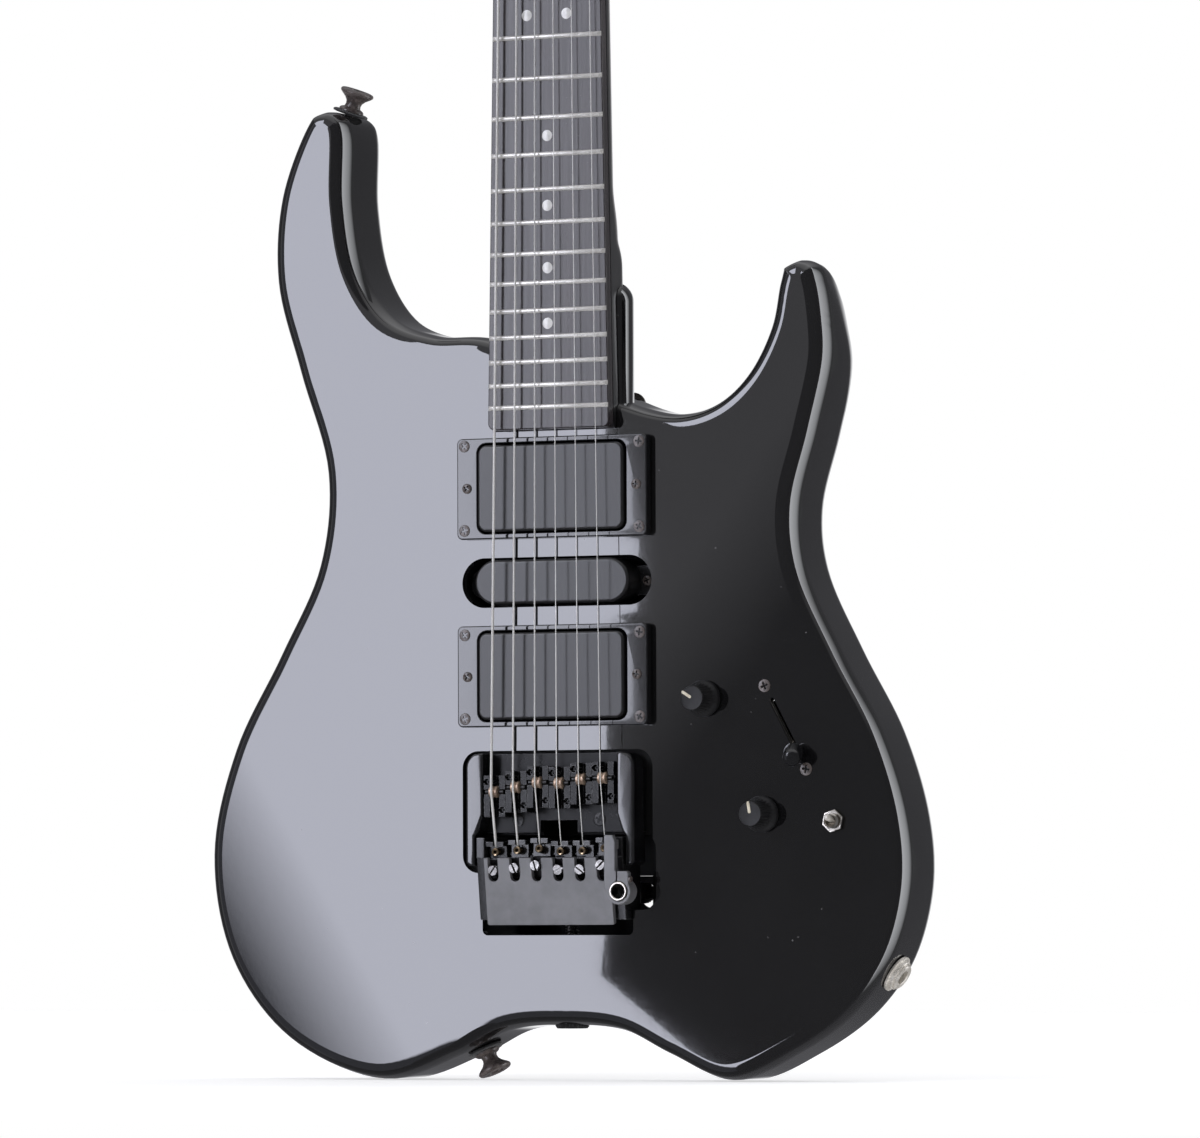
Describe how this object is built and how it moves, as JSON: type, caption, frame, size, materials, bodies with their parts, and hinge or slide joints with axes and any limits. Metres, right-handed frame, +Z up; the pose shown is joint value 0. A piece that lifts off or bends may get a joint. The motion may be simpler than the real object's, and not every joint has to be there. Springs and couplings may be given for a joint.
{
  "type": "headless electric guitar",
  "caption": "Headless electric guitar with a double-cutaway slab body, covered pickups and a roller-saddle vibrato bridge tuned at the tail.",
  "frame": {"origin": "on the flat back of the body, on the string centreline, 88 mm above the saddle line; the front face is at Y = -42 mm", "axes": "+Z up the neck, +Y out of the back, +X toward the thin strings' side"},
  "size_m": [0.3367, 0.0582, 0.8087],
  "materials": {
    "gloss_black": "polished black lacquer over solid wood",
    "neck_composite": "satin black carbon composite",
    "board_black": "satin dark phenolic board, steel frets, pale dots",
    "string_steel": "nickel wound and plain steel, brass balls",
    "pickup_satin": "satin black covers",
    "ring_gloss": "glossy black",
    "bridge_black": "satin black",
    "roller_brass": "dull copper tint",
    "knob_black": "fine satin, ivory pointer",
    "nickel": "bright nickel",
    "felt_black": "black felt"
  },
  "bodies": {
    "guitar": {"body": "gloss_black", "neck": "neck_composite", "fingerboard": "board_black", "headpiece": "bridge_black", "string_1": "string_steel", "string_2": "string_steel", "string_3": "string_steel", "string_4": "string_steel", "string_5": "string_steel", "string_6": "string_steel", "pickup_ring_neck": "ring_gloss", "pickup_ring_bridge": "ring_gloss", "pickup_neck": "pickup_satin", "pickup_middle": "pickup_satin", "pickup_bridge": "pickup_satin", "tremolo_frame": "bridge_black", "tremolo_spring": "nickel", "volume_pot": "nickel", "tone_pot": "nickel", "switch_unit": "bridge_black", "toggle_unit": "nickel", "output_jack": "nickel", "control_cover": "pickup_satin", "strap_button_upper": "bridge_black", "strap_button_lower": "bridge_black", "felt_washer_upper": "felt_black", "felt_washer_lower": "felt_black"},
    "tail": {"tail_block": "bridge_black", "tail_plate": "bridge_black", "arm_clamp": "bridge_black", "arm_socket": "nickel"},
    "jaw_1": {"tuner_jaw_1": "bridge_black"},
    "jaw_2": {"tuner_jaw_2": "bridge_black"},
    "jaw_3": {"tuner_jaw_3": "bridge_black"},
    "jaw_4": {"tuner_jaw_4": "bridge_black"},
    "jaw_5": {"tuner_jaw_5": "bridge_black"},
    "jaw_6": {"tuner_jaw_6": "bridge_black"},
    "tuner_1": {"tuner_knob_1": "knob_black"},
    "tuner_2": {"tuner_knob_2": "knob_black"},
    "tuner_3": {"tuner_knob_3": "knob_black"},
    "tuner_4": {"tuner_knob_4": "knob_black"},
    "tuner_5": {"tuner_knob_5": "knob_black"},
    "tuner_6": {"tuner_knob_6": "knob_black"},
    "saddle_1": {"saddle_1": "bridge_black"},
    "saddle_2": {"saddle_2": "bridge_black"},
    "saddle_3": {"saddle_3": "bridge_black"},
    "saddle_4": {"saddle_4": "bridge_black"},
    "saddle_5": {"saddle_5": "bridge_black"},
    "saddle_6": {"saddle_6": "bridge_black"},
    "roller_1": {"roller_1": "roller_brass"},
    "roller_2": {"roller_2": "roller_brass"},
    "roller_3": {"roller_3": "roller_brass"},
    "roller_4": {"roller_4": "roller_brass"},
    "roller_5": {"roller_5": "roller_brass"},
    "roller_6": {"roller_6": "roller_brass"},
    "volume_knob": {"volume_knob": "knob_black"},
    "tone_knob": {"tone_knob": "knob_black"},
    "switch_lever": {"switch_lever": "knob_black"},
    "toggle_bat": {"toggle_bat": "nickel"},
    "tension_knob": {"tension_knob": "knob_black"}
  },
  "joints": [
    {"name": "tremolo_pivot", "type": "hinge", "parent": "guitar", "child": "tail", "pos_m": [0, -0.043, -0.121], "axis": [1, 0, 0], "range_deg": [-6, 6], "stiffness_Nm_per_rad": 2, "deforming": ["string_1", "string_2", "string_3", "string_4", "string_5", "string_6", "tremolo_spring"]},
    {"name": "tuner_1_turn", "type": "hinge", "parent": "tail", "child": "tuner_1", "pos_m": [-0.02625, -0.042, -0.138], "axis": [0, 1, 0], "range_deg": [-720, 720]},
    {"name": "tuner_2_turn", "type": "hinge", "parent": "tail", "child": "tuner_2", "pos_m": [-0.01575, -0.042, -0.138], "axis": [0, 1, 0], "range_deg": [-720, 720]},
    {"name": "tuner_3_turn", "type": "hinge", "parent": "tail", "child": "tuner_3", "pos_m": [-0.00525, -0.042, -0.138], "axis": [0, 1, 0], "range_deg": [-720, 720]},
    {"name": "tuner_4_turn", "type": "hinge", "parent": "tail", "child": "tuner_4", "pos_m": [0.00525, -0.042, -0.138], "axis": [0, 1, 0], "range_deg": [-720, 720]},
    {"name": "tuner_5_turn", "type": "hinge", "parent": "tail", "child": "tuner_5", "pos_m": [0.01575, -0.042, -0.138], "axis": [0, 1, 0], "range_deg": [-720, 720]},
    {"name": "tuner_6_turn", "type": "hinge", "parent": "tail", "child": "tuner_6", "pos_m": [0.02625, -0.042, -0.138], "axis": [0, 1, 0], "range_deg": [-720, 720]},
    {"name": "jaw_1_tilt", "type": "hinge", "parent": "tail", "child": "jaw_1", "pos_m": [-0.02625, -0.043, -0.121], "axis": [1, 0, 0], "range_deg": [-3.5, 3.5]},
    {"name": "jaw_2_tilt", "type": "hinge", "parent": "tail", "child": "jaw_2", "pos_m": [-0.01575, -0.043, -0.121], "axis": [1, 0, 0], "range_deg": [-3.5, 3.5]},
    {"name": "jaw_3_tilt", "type": "hinge", "parent": "tail", "child": "jaw_3", "pos_m": [-0.00525, -0.043, -0.121], "axis": [1, 0, 0], "range_deg": [-3.5, 3.5]},
    {"name": "jaw_4_tilt", "type": "hinge", "parent": "tail", "child": "jaw_4", "pos_m": [0.00525, -0.043, -0.121], "axis": [1, 0, 0], "range_deg": [-3.5, 3.5]},
    {"name": "jaw_5_tilt", "type": "hinge", "parent": "tail", "child": "jaw_5", "pos_m": [0.01575, -0.043, -0.121], "axis": [1, 0, 0], "range_deg": [-3.5, 3.5]},
    {"name": "jaw_6_tilt", "type": "hinge", "parent": "tail", "child": "jaw_6", "pos_m": [0.02625, -0.043, -0.121], "axis": [1, 0, 0], "range_deg": [-3.5, 3.5]},
    {"name": "saddle_1_slide", "type": "slide", "parent": "guitar", "child": "saddle_1", "axis": [0, 0, 1], "range_m": [-0.001, 0.003]},
    {"name": "saddle_2_slide", "type": "slide", "parent": "guitar", "child": "saddle_2", "axis": [0, 0, 1], "range_m": [-0.001, 0.003]},
    {"name": "saddle_3_slide", "type": "slide", "parent": "guitar", "child": "saddle_3", "axis": [0, 0, 1], "range_m": [-0.001, 0.003]},
    {"name": "saddle_4_slide", "type": "slide", "parent": "guitar", "child": "saddle_4", "axis": [0, 0, 1], "range_m": [-0.001, 0.003]},
    {"name": "saddle_5_slide", "type": "slide", "parent": "guitar", "child": "saddle_5", "axis": [0, 0, 1], "range_m": [-0.001, 0.003]},
    {"name": "saddle_6_slide", "type": "slide", "parent": "guitar", "child": "saddle_6", "axis": [0, 0, 1], "range_m": [-0.001, 0.003]},
    {"name": "roller_1_spin", "type": "hinge", "parent": "saddle_1", "child": "roller_1", "pos_m": [-0.02625, -0.0503, -0.0937], "axis": [1, 0, 0], "continuous": true},
    {"name": "roller_2_spin", "type": "hinge", "parent": "saddle_2", "child": "roller_2", "pos_m": [-0.01575, -0.0503, -0.0918], "axis": [1, 0, 0], "continuous": true},
    {"name": "roller_3_spin", "type": "hinge", "parent": "saddle_3", "child": "roller_3", "pos_m": [-0.00525, -0.0503, -0.0898], "axis": [1, 0, 0], "continuous": true},
    {"name": "roller_4_spin", "type": "hinge", "parent": "saddle_4", "child": "roller_4", "pos_m": [0.00525, -0.0503, -0.0902], "axis": [1, 0, 0], "continuous": true},
    {"name": "roller_5_spin", "type": "hinge", "parent": "saddle_5", "child": "roller_5", "pos_m": [0.01575, -0.0503, -0.0886], "axis": [1, 0, 0], "continuous": true},
    {"name": "roller_6_spin", "type": "hinge", "parent": "saddle_6", "child": "roller_6", "pos_m": [0.02625, -0.0503, -0.0882], "axis": [1, 0, 0], "continuous": true},
    {"name": "volume_turn", "type": "hinge", "parent": "guitar", "child": "volume_knob", "pos_m": [0.071, -0.042, -0.0543], "axis": [0, 1, 0], "range_deg": [-92, 208]},
    {"name": "tone_turn", "type": "hinge", "parent": "guitar", "child": "tone_knob", "pos_m": [0.0983, -0.042, -0.1045], "axis": [0, 1, 0], "range_deg": [-141, 159]},
    {"name": "switch_throw", "type": "hinge", "parent": "guitar", "child": "switch_lever", "pos_m": [0.1092, -0.026, -0.0673], "axis": [0.8805, 0, 0.4741], "range_deg": [-62, 0]},
    {"name": "toggle_throw", "type": "hinge", "parent": "guitar", "child": "toggle_bat", "pos_m": [0.132, -0.042, -0.1077], "axis": [1, 0, 0], "range_deg": [0, 24]},
    {"name": "tension_turn", "type": "hinge", "parent": "guitar", "child": "tension_knob", "pos_m": [0, -0.0275, -0.1783], "axis": [0, 0, 1], "range_deg": [-720, 720]}
  ],
  "couplings": [
    {"joint": "jaw_1_tilt", "follows": "tuner_1_turn", "ratio": 0.004681},
    {"joint": "jaw_2_tilt", "follows": "tuner_2_turn", "ratio": 0.004681},
    {"joint": "jaw_3_tilt", "follows": "tuner_3_turn", "ratio": 0.004681},
    {"joint": "jaw_4_tilt", "follows": "tuner_4_turn", "ratio": 0.004681},
    {"joint": "jaw_5_tilt", "follows": "tuner_5_turn", "ratio": 0.004681},
    {"joint": "jaw_6_tilt", "follows": "tuner_6_turn", "ratio": 0.004681}
  ]
}
